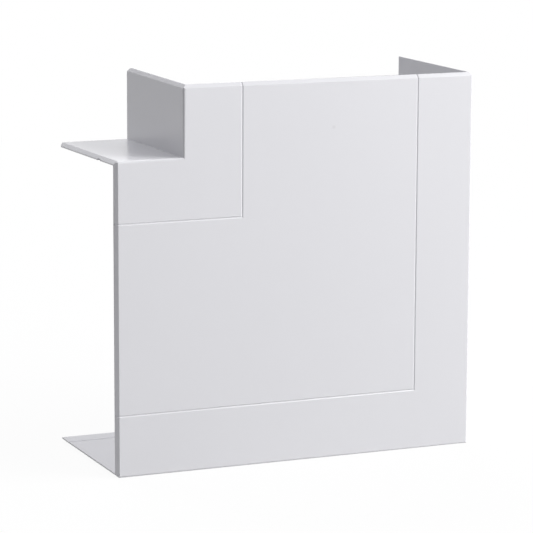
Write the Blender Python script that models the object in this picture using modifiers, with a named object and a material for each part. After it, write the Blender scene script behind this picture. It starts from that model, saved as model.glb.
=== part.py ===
"""Flat angle cover for wide wall trunking: one plastic moulding that takes the run round a flat 90 degree turn.

Metres, +Z up. The front plate faces -Y and the piece stands on its lower side wall, with the origin in the
middle of its base. Inside the script, lengths are counted from the outer lower left corner of the front plate:
X along the plate, Y back from its front face, Z up.

The piece is symmetric about the plane through its outer corner and its notch, so one leg is modelled, cut at
that plane and mirrored.
"""

import math

import bmesh
import bpy
from mathutils import Matrix, Vector

# Driving dimensions
TRUNKING_WIDTH = 0.1300  # clear width between the side walls of a leg
DEPTH = 0.0700  # front face to the free edges of the side walls
WALL = 0.00185  # every wall
NOTCH_LEG = 0.0303  # from an open end to the outer face of the short wall at the notch
TOE_IN = 0.0009  # how far the free edge of a short wall leans into its leg
EDGE_RADIUS = 0.0010  # outer edge between the front plate and a side wall
INNER_RADIUS = 0.0005  # inner edge between the front plate and a side wall
CORNER_RADIUS = 0.0005  # edge where the two long side walls meet
FREE_CORNER_RADIUS = 0.0025  # rear corner of a short wall at its open end
CHAMFER_LENGTH = 0.0015  # chamfer round an open end, measured along the leg
CHAMFER_DEPTH = 0.0013  # the same chamfer, measured into the wall
SEAM_SPACING = 0.0810  # between the two grooves that carry on the joint lines of the lid
SEAM_WIDTH = 0.0009
SEAM_DEPTH = 0.00035
SCORE_FROM_REAR = 0.0093  # fine line inside the lower wall
SCORE_WIDTH = 0.0006
SCORE_DEPTH = 0.0003
NICK_FROM_FRONT = 0.0195  # small mould mark in the end of the upper short wall
NICK_LENGTH = 0.0030
NICK_HEIGHT = 0.0008
NICK_REACH = 0.0012

# Fineness of the round stretches, how far a cutter runs past what it cuts, and how near points have to be to
# join
ARC_STEPS = 7
OVERRUN = 0.0050
WELD_DISTANCE = 0.00001

# Sizes that follow
LEG_WIDTH = TRUNKING_WIDTH + 2 * WALL
OUTER = NOTCH_LEG + LEG_WIDTH
TOE_ANGLE = math.atan2(TOE_IN, DEPTH)

# Finish
PLASTIC_COLOUR = (0.80, 0.80, 0.81, 1.0)
PLASTIC_ROUGHNESS = 0.42

AXIS_X = Vector((1, 0, 0))
AXIS_Y = Vector((0, 1, 0))
AXIS_Z = Vector((0, 0, 1))


def clear_scene():
    for old in list(bpy.data.objects):
        bpy.data.objects.remove(old, do_unlink=True)


def new_collection(name):
    collection = bpy.data.collections.new(name)
    bpy.context.scene.collection.children.link(collection)
    return collection


def plastic_material():
    material = bpy.data.materials.new("white_plastic")
    material.use_nodes = True
    surface = material.node_tree.nodes["Principled BSDF"]
    surface.inputs["Base Color"].default_value = PLASTIC_COLOUR
    surface.inputs["Roughness"].default_value = PLASTIC_ROUGHNESS
    surface.inputs["Metallic"].default_value = 0.0
    return material


def placed_frame(origin, across, inward):
    """Frame whose first axis is across, whose second is inward and whose third is square to both."""
    along = across.cross(inward)
    frame = Matrix((across, inward, along)).transposed().to_4x4()
    frame.translation = Vector(origin)
    return frame


def rounded_outline(corners):
    """Points of a closed outline whose corners are given as (u, v, radius)."""
    points = []
    for index, (u, v, radius) in enumerate(corners):
        corner = Vector((u, v))
        if radius == 0:
            points.append(corner)
            continue
        before = (Vector(corners[index - 1][:2]) - corner).normalized()
        after = (Vector(corners[(index + 1) % len(corners)][:2]) - corner).normalized()
        half_angle = before.angle(after) / 2
        centre = corner + (before + after).normalized() * (radius / math.sin(half_angle))
        first = corner + before * (radius / math.tan(half_angle)) - centre
        turn = first.angle_signed(corner + after * (radius / math.tan(half_angle)) - centre)
        for step in range(ARC_STEPS + 1):
            points.append(centre + Matrix.Rotation(-turn * step / ARC_STEPS, 2) @ first)
    return points


def prism(name, outline, frame, start, end, collection, carrier):
    """Closed prism: an outline in the frame's first two axes that runs from start to end along the third."""
    curve = bpy.data.curves.new(name + "_outline", "CURVE")
    curve.dimensions = "2D"
    curve.fill_mode = "BOTH"
    curve.extrude = (end - start) / 2
    spline = curve.splines.new("POLY")
    spline.points.add(len(outline) - 1)
    for point, (u, v) in zip(spline.points, outline):
        point.co = (u, v, 0, 1)
    spline.use_cyclic_u = True
    flat = bpy.data.objects.new(name + "_outline", curve)
    collection.objects.link(flat)

    evaluated = flat.evaluated_get(bpy.context.evaluated_depsgraph_get())
    mesh = bpy.data.meshes.new_from_object(evaluated)
    mesh.name = name
    bpy.data.objects.remove(flat, do_unlink=True)
    shape = bmesh.new()
    shape.from_mesh(mesh)
    bmesh.ops.remove_doubles(shape, verts=shape.verts, dist=WELD_DISTANCE)
    bmesh.ops.recalc_face_normals(shape, faces=shape.faces)
    shape.to_mesh(mesh)
    shape.free()

    solid = bpy.data.objects.new(name, mesh)
    collection.objects.link(solid)
    solid.parent = carrier
    solid.matrix_local = frame @ Matrix.Translation((0, 0, (start + end) / 2))
    return solid


def cut(target, cutter):
    cutter.hide_render = True
    cutter.display_type = "WIRE"
    boolean = target.modifiers.new("cut_" + cutter.name, "BOOLEAN")
    boolean.operation = "DIFFERENCE"
    boolean.solver = "EXACT"
    boolean.object = cutter


def weld(target, name):
    """Joins the points that fall together where cut faces cross."""
    joined = target.modifiers.new("weld_" + name, "WELD")
    joined.merge_threshold = WELD_DISTANCE


def groove_outline(width, depth):
    """V groove with its mouth on the first axis, opened outwards past the surface."""
    flare = 2.0
    rim = width / 2 * flare
    return [(-rim, depth * (1 - flare)), (rim, depth * (1 - flare)), (0, depth)]


def corner_outline(radius):
    """What a rounded corner at the origin loses, for a wall that fills the quadrant of both positive axes."""
    corners = [(0, radius, 0), (0, 0, radius), (radius, 0, 0)]
    arc = rounded_outline([(radius, radius, 0)] + corners)[2:-1]
    return [(radius, -OVERRUN), (-OVERRUN, -OVERRUN), (-OVERRUN, radius)] + arc


def leg_section():
    """Channel section of a leg: depth from the front face, then height. The upper wall is the short one."""
    lean = TOE_IN / DEPTH
    inner_top = LEG_WIDTH - WALL
    return rounded_outline([
        (DEPTH, 0, 0),
        (0, 0, EDGE_RADIUS),
        (0, LEG_WIDTH, EDGE_RADIUS),
        (DEPTH, LEG_WIDTH - TOE_IN, 0),
        (DEPTH, inner_top - TOE_IN, 0),
        (WALL, inner_top - lean * WALL, INNER_RADIUS),
        (WALL, WALL, INNER_RADIUS),
        (DEPTH, WALL, 0),
    ])


def make_leg(collection, carrier):
    """Lower leg, left open at its mouth (X = 0) and running past the mitre plane."""
    frame = placed_frame((0, 0, 0), AXIS_Y, AXIS_Z)
    leg = prism("flat_angle_cover", leg_section(), frame, 0, OUTER + OVERRUN, collection, carrier)
    leg.data.shade_smooth()
    leg.data.set_sharp_from_angle(angle=math.radians(30))
    return leg


def chamfer_mouth(leg, cutters, carrier):
    """Chamfer on the outside of the mouth: across the plate and along both side walls."""
    reach = 1.5
    outline = [
        (CHAMFER_LENGTH * reach, CHAMFER_DEPTH * (1 - reach)),
        (CHAMFER_LENGTH * (1 - reach), CHAMFER_DEPTH * reach),
        (CHAMFER_LENGTH * (1 - reach), CHAMFER_DEPTH * (1 - reach)),
    ]
    down_the_lean = Matrix.Rotation(-TOE_ANGLE, 3, "X") @ -AXIS_Z
    sides = {
        "front": (placed_frame((0, 0, 0), AXIS_X, AXIS_Y), -OVERRUN, LEG_WIDTH + OVERRUN),
        "lower": (placed_frame((0, 0, 0), AXIS_X, AXIS_Z), -DEPTH - OVERRUN, OVERRUN),
        "upper": (placed_frame((0, 0, LEG_WIDTH), AXIS_X, down_the_lean), -OVERRUN, DEPTH + OVERRUN),
    }
    for side, (frame, start, end) in sides.items():
        cut(leg, prism("mouth_chamfer_" + side, outline, frame, start, end, cutters, carrier))
        weld(leg, side + "_chamfer")


def cut_seams(leg, cutters, carrier):
    """Two grooves along the plate, which turn down the chamfer at the mouth."""
    outline = groove_outline(SEAM_WIDTH, SEAM_DEPTH)
    slope = Vector((CHAMFER_DEPTH, CHAMFER_LENGTH, 0)).normalized()
    slope_length = math.hypot(CHAMFER_LENGTH, CHAMFER_DEPTH)
    for side, sign in (("lower", -1), ("upper", 1)):
        height = (LEG_WIDTH + sign * SEAM_SPACING) / 2
        plate = placed_frame((0, 0, height), AXIS_Z, AXIS_Y)
        cut(leg, prism("seam_" + side, outline, plate, -OUTER, OVERRUN, cutters, carrier))
        knee = placed_frame((CHAMFER_LENGTH, 0, height), AXIS_Z, slope)
        end = slope_length + OVERRUN
        cut(leg, prism("seam_end_" + side, outline, knee, -OVERRUN, end, cutters, carrier))
        weld(leg, side + "_seam")


def round_free_corner(leg, cutters, carrier):
    """Rear corner of the short wall at the mouth."""
    frame = placed_frame((0, DEPTH, 0), AXIS_X, -AXIS_Y)
    outline = corner_outline(FREE_CORNER_RADIUS)
    low, high = LEG_WIDTH / 2, LEG_WIDTH + OVERRUN
    cut(leg, prism("free_corner", outline, frame, -high, -low, cutters, carrier))
    weld(leg, "free_corner")


def mirror_leg(leg, carrier):
    """Second leg, with both cut at the plane through the outer corner and the notch."""
    mitre = bpy.data.objects.new("mitre_plane", None)
    bpy.context.scene.collection.objects.link(mitre)
    mitre.parent = carrier
    mitre.location = (OUTER, 0, 0)
    mitre.rotation_euler = (0, -math.pi / 4, 0)
    mirror = leg.modifiers.new("second_leg", "MIRROR")
    mirror.mirror_object = mitre
    mirror.use_axis = (True, False, False)
    mirror.use_bisect_axis = (True, False, False)
    mirror.use_bisect_flip_axis = (True, False, False)
    mirror.merge_threshold = WELD_DISTANCE


def round_outer_corner(cover, cutters, carrier):
    """Edge from front to back where the two long side walls meet."""
    frame = placed_frame((OUTER, 0, 0), -AXIS_X, AXIS_Z)
    outline = corner_outline(CORNER_RADIUS)
    cut(cover, prism("outer_corner", outline, frame, -OVERRUN, DEPTH + OVERRUN, cutters, carrier))


def score_lower_wall(cover, cutters, carrier):
    """Fine line inside the lower wall, along its free edge."""
    frame = placed_frame((0, DEPTH - SCORE_FROM_REAR, WALL), AXIS_Y, -AXIS_Z)
    outline = groove_outline(SCORE_WIDTH, SCORE_DEPTH)
    inner_face = OUTER - WALL
    cut(cover, prism("score_line", outline, frame, SCORE_WIDTH - inner_face, OVERRUN, cutters, carrier))


def nick_upper_wall(cover, cutters, carrier):
    """Small mark at the inner edge of the upper short wall's end."""
    inner_face = LEG_WIDTH - WALL - NICK_FROM_FRONT * TOE_IN / DEPTH
    bpy.ops.mesh.primitive_cube_add(size=1)
    box = bpy.context.object
    box.name = "end_nick"
    for collection in list(box.users_collection):
        collection.objects.unlink(box)
    cutters.objects.link(box)
    box.parent = carrier
    box.scale = (2 * NICK_REACH, NICK_LENGTH, 2 * NICK_HEIGHT)
    box.location = (0, NICK_FROM_FRONT, inner_face)
    cut(cover, box)
    weld(cover, "marks")


def main():
    clear_scene()
    parts = new_collection("trunking_flat_angle")
    cutters = new_collection("cutters")
    carrier = bpy.data.objects.new("base_corner", None)
    bpy.context.scene.collection.objects.link(carrier)
    carrier.location = (-OUTER / 2, -DEPTH / 2, 0)

    cover = make_leg(parts, carrier)
    chamfer_mouth(cover, cutters, carrier)
    cut_seams(cover, cutters, carrier)
    round_free_corner(cover, cutters, carrier)
    mirror_leg(cover, carrier)
    round_outer_corner(cover, cutters, carrier)
    score_lower_wall(cover, cutters, carrier)
    nick_upper_wall(cover, cutters, carrier)
    cover.data.materials.append(plastic_material())


main()
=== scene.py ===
"""White flat angle cover on a plain floor, lit by three soft boxes and a little room light."""

import math

import bpy
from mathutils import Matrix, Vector

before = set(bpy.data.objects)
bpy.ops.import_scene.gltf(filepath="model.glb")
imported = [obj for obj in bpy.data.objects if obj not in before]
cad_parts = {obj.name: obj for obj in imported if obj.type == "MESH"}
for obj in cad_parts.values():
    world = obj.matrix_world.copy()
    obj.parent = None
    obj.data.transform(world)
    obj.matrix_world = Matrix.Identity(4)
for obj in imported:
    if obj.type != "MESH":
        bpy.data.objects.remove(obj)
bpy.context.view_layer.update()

COVER = "flat_angle_cover"

# Camera, in metres and degrees; the lens and the sensor in millimetres
CAMERA_PLACE = (-0.46308, -1.08997, 0.29477)
CAMERA_TURN = (79.6578, -0.2213, -23.0064)
CAMERA_LENS = 186.68
SENSOR_WIDTH = 36.0

# Moulded edges
WELD_DISTANCE = 0.000002
FLAT_ANGLE = math.radians(0.4)
EDGE_ROUNDING = 0.00005
EDGE_STEPS = 2
SHARP_ANGLE = math.radians(32)
FACE_AREA_WEIGHT = 90

# Plastic: flow shading and gloss follow one broad noise, the grain a fine one
PLASTIC = (0.782, 0.785, 0.814)
PLASTIC_SHADE = (0.769, 0.772, 0.802)
ROUGHNESS = 0.25
ROUGHNESS_SPREAD = 0.015
REFRACTION = 1.49
NOISE_DETAIL = 2.0
FLOW_SCALE = 9.0
FLOW_RANGE = (0.15, 0.85)
GRAIN_SCALE = 2600.0
GRAIN_STRENGTH = 0.06
GRAIN_HEIGHT = 0.00002

# Faint speck on the front plate
SPECK_PLACE = (0.0164, -0.035, 0.1433)
SPECK_RADIUS = 0.0012
SPECK_COLOUR = (0.66, 0.66, 0.68)
SPECK_SHARE = 0.55

# Soft boxes, all turned towards AIM: place, size, power in watts, colour
AIM = (0.0, 0.0, 0.082)
WARM = (1.0, 0.995, 0.99)
COOL = (0.97, 0.965, 1.0)
SOFT_BOXES = {
    "front_box": ((1.0, -1.4, 0.7), (1.2, 1.2), 18.4, WARM),
    "right_box": ((1.2, -0.6, 1.1), (0.9, 0.9), 19.6, WARM),
    "back_box": ((0.0, 1.2, 1.2), (1.4, 1.0), 13.8, COOL),
}
WORLD_COLOUR = (0.96, 0.95, 1.0)
WORLD_STRENGTH = 0.20

# Floor: pale grey where it lights the cover, and seen as white. Its share of pure white rises
# from FLOOR_WHITE_SHARE near the cover to 1 further out, so the cover's faint shadow stays.
FLOOR_SIZE = 12.0
FLOOR_DROP = 0.00005
FLOOR_COLOUR = 0.45
FLOOR_SEEN_COLOUR = 0.95
FLOOR_WHITE_SHARE = 0.94
SHADOW_REACH = (0.25, 1.0)


def new_node(tree, kind, **settings):
    node = tree.nodes.new(kind)
    for key, value in settings.items():
        setattr(node, key, value)
    return node


def noise(tree, place, scale):
    """Output of a noise texture in the coordinates that place gives."""
    texture = new_node(tree, "ShaderNodeTexNoise")
    texture.inputs["Scale"].default_value = scale
    texture.inputs["Detail"].default_value = NOISE_DETAIL
    tree.links.new(place, texture.inputs["Vector"])
    return texture.outputs["Fac"]


def eased(tree, value, source, target):
    """Output that goes softly from target[0] to target[1] as value runs through source."""
    ease = new_node(tree, "ShaderNodeMapRange", interpolation_type="SMOOTHSTEP")
    ease.inputs["From Min"].default_value, ease.inputs["From Max"].default_value = source
    ease.inputs["To Min"].default_value, ease.inputs["To Max"].default_value = target
    tree.links.new(value, ease.inputs["Value"])
    return ease.outputs["Result"]


def plastic_material():
    """Moulded plastic: faint flow shading, one speck, a fine grain and a slightly uneven gloss."""
    material = bpy.data.materials.new("white_moulded_plastic")
    material.use_nodes = True
    tree = material.node_tree
    surface = tree.nodes["Principled BSDF"]
    surface.inputs["IOR"].default_value = REFRACTION
    place = new_node(tree, "ShaderNodeTexCoord").outputs["Object"]

    flow = noise(tree, place, FLOW_SCALE)
    tint = new_node(tree, "ShaderNodeValToRGB")
    tint.color_ramp.interpolation = "EASE"
    shades = zip(tint.color_ramp.elements, FLOW_RANGE, (PLASTIC_SHADE, PLASTIC))
    for stop, position, colour in shades:
        stop.position = position
        stop.color = (*colour, 1)
    tree.links.new(flow, tint.inputs["Fac"])

    gap = new_node(tree, "ShaderNodeVectorMath", operation="DISTANCE")
    gap.inputs[1].default_value = SPECK_PLACE
    tree.links.new(place, gap.inputs[0])
    speck = eased(tree, gap.outputs["Value"], (0.0, SPECK_RADIUS), (SPECK_SHARE, 0.0))
    marked = new_node(tree, "ShaderNodeMixRGB", blend_type="MIX")
    marked.inputs["Color2"].default_value = (*SPECK_COLOUR, 1)
    tree.links.new(speck, marked.inputs["Fac"])
    tree.links.new(tint.outputs["Color"], marked.inputs["Color1"])
    tree.links.new(marked.outputs["Color"], surface.inputs["Base Color"])

    gloss_range = (ROUGHNESS - ROUGHNESS_SPREAD, ROUGHNESS + ROUGHNESS_SPREAD)
    gloss = eased(tree, flow, FLOW_RANGE, gloss_range)
    tree.links.new(gloss, surface.inputs["Roughness"])

    bump = new_node(tree, "ShaderNodeBump")
    bump.inputs["Strength"].default_value = GRAIN_STRENGTH
    bump.inputs["Distance"].default_value = GRAIN_HEIGHT
    tree.links.new(noise(tree, place, GRAIN_SCALE), bump.inputs["Height"])
    tree.links.new(bump.outputs["Normal"], surface.inputs["Normal"])
    return material


def smooth_by_angle():
    """Node group that shades everything smooth but the edges sharper than SHARP_ANGLE."""
    tree = bpy.data.node_groups.new("smooth_by_angle", "GeometryNodeTree")
    tree.interface.new_socket("Geometry", in_out="INPUT", socket_type="NodeSocketGeometry")
    tree.interface.new_socket("Geometry", in_out="OUTPUT", socket_type="NodeSocketGeometry")
    start = new_node(tree, "NodeGroupInput")
    end = new_node(tree, "NodeGroupOutput")
    faces = new_node(tree, "GeometryNodeSetShadeSmooth", domain="FACE")
    faces.inputs["Shade Smooth"].default_value = True
    edges = new_node(tree, "GeometryNodeSetShadeSmooth", domain="EDGE")
    edges.inputs["Shade Smooth"].default_value = False
    angle = new_node(tree, "GeometryNodeInputMeshEdgeAngle")
    sharp = new_node(tree, "FunctionNodeCompare", data_type="FLOAT", operation="GREATER_THAN")
    sharp.inputs["B"].default_value = SHARP_ANGLE
    tree.links.new(start.outputs["Geometry"], faces.inputs["Geometry"])
    tree.links.new(faces.outputs["Geometry"], edges.inputs["Geometry"])
    tree.links.new(angle.outputs["Unsigned Angle"], sharp.inputs["A"])
    tree.links.new(sharp.outputs["Result"], edges.inputs["Selection"])
    tree.links.new(edges.outputs["Geometry"], end.inputs["Geometry"])
    return tree


def finish_cover(cover):
    """Softens the cover's moulded edges and gives it its material."""
    weld = cover.modifiers.new("weld", "WELD")
    weld.merge_threshold = WELD_DISTANCE
    flat = cover.modifiers.new("join_flat_faces", "DECIMATE")
    flat.decimate_type = "DISSOLVE"
    flat.angle_limit = FLAT_ANGLE
    rounding = cover.modifiers.new("edge_rounding", "BEVEL")
    rounding.width = EDGE_ROUNDING
    rounding.segments = EDGE_STEPS
    rounding.limit_method = "ANGLE"
    rounding.angle_limit = SHARP_ANGLE
    rounding.use_clamp_overlap = False
    joined = cover.modifiers.new("join_rounding", "WELD")
    joined.merge_threshold = WELD_DISTANCE
    smooth = cover.modifiers.new("smooth", "NODES")
    smooth.node_group = smooth_by_angle()
    normals = cover.modifiers.new("weighted_normals", "WEIGHTED_NORMAL")
    normals.keep_sharp = True
    normals.weight = FACE_AREA_WEIGHT
    material = plastic_material()
    for slot in cover.material_slots:
        slot.material = material


def mixed(tree, share, first, second):
    """Mix of two shaders, where share is how much of the second is in it."""
    mix = new_node(tree, "ShaderNodeMixShader")
    tree.links.new(share, mix.inputs[0])
    tree.links.new(first.outputs[0], mix.inputs[1])
    tree.links.new(second.outputs[0], mix.inputs[2])
    return mix


def seen_directly(tree):
    """Output that is 1 for what the camera, a reflection or a see-through ray meets, else 0."""
    rays = new_node(tree, "ShaderNodeLightPath")
    seen = rays.outputs["Is Camera Ray"]
    for kind in ("Is Glossy Ray", "Is Transmission Ray"):
        either = new_node(tree, "ShaderNodeMath", operation="MAXIMUM")
        tree.links.new(seen, either.inputs[0])
        tree.links.new(rays.outputs[kind], either.inputs[1])
        seen = either.outputs[0]
    return seen


def plain_white(tree):
    white = new_node(tree, "ShaderNodeEmission")
    white.inputs["Color"].default_value = (1, 1, 1, 1)
    white.inputs["Strength"].default_value = 1.0
    return white


def floor_paint(tree, value):
    paint = new_node(tree, "ShaderNodeBsdfDiffuse")
    paint.inputs["Color"].default_value = (value, value, value, 1)
    return paint


def floor_material():
    """Pale grey for what it lights, and white with the cover's faint shadow for what sees it."""
    material = bpy.data.materials.new("white_floor")
    material.use_nodes = True
    tree = material.node_tree
    tree.nodes.remove(tree.nodes["Principled BSDF"])
    place = new_node(tree, "ShaderNodeTexCoord")
    reach = new_node(tree, "ShaderNodeVectorMath", operation="LENGTH")
    tree.links.new(place.outputs["Object"], reach.inputs[0])
    share = eased(tree, reach.outputs["Value"], SHADOW_REACH, (FLOOR_WHITE_SHARE, 1.0))
    white = mixed(tree, share, floor_paint(tree, FLOOR_SEEN_COLOUR), plain_white(tree))
    surface = mixed(tree, seen_directly(tree), floor_paint(tree, FLOOR_COLOUR), white)
    tree.links.new(surface.outputs[0], tree.nodes["Material Output"].inputs["Surface"])
    return material


def add_floor():
    half = FLOOR_SIZE / 2
    corners = [(-half, -half, 0), (half, -half, 0), (half, half, 0), (-half, half, 0)]
    mesh = bpy.data.meshes.new("floor")
    mesh.from_pydata(corners, [], [(0, 1, 2, 3)])
    mesh.materials.append(floor_material())
    floor = bpy.data.objects.new("floor", mesh)
    bpy.context.scene.collection.objects.link(floor)
    floor.location.z = -FLOOR_DROP


def add_world():
    """Room that gives a little light and is seen as white."""
    world = bpy.data.worlds.new("studio")
    world.use_nodes = True
    bpy.context.scene.world = world
    tree = world.node_tree
    room = tree.nodes["Background"]
    room.inputs["Color"].default_value = (*WORLD_COLOUR, 1)
    room.inputs["Strength"].default_value = WORLD_STRENGTH
    surface = mixed(tree, seen_directly(tree), room, plain_white(tree))
    tree.links.new(surface.outputs[0], tree.nodes["World Output"].inputs["Surface"])


def add_soft_boxes():
    for name, (place, size, power, colour) in SOFT_BOXES.items():
        lamp = bpy.data.lights.new(name, "AREA")
        lamp.shape = "RECTANGLE"
        lamp.size, lamp.size_y = size
        lamp.energy = power
        lamp.color = colour
        box = bpy.data.objects.new(name, lamp)
        bpy.context.scene.collection.objects.link(box)
        box.location = place
        box.rotation_euler = (Vector(AIM) - Vector(place)).to_track_quat("-Z", "Y").to_euler()


def add_camera():
    lens = bpy.data.cameras.new("camera")
    lens.lens = CAMERA_LENS
    lens.sensor_width = SENSOR_WIDTH
    camera = bpy.data.objects.new("camera", lens)
    bpy.context.scene.collection.objects.link(camera)
    camera.location = CAMERA_PLACE
    camera.rotation_euler = [math.radians(turn) for turn in CAMERA_TURN]
    bpy.context.scene.camera = camera


finish_cover(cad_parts[COVER])
add_floor()
add_world()
add_soft_boxes()
add_camera()
bpy.context.scene.view_settings.view_transform = "Standard"
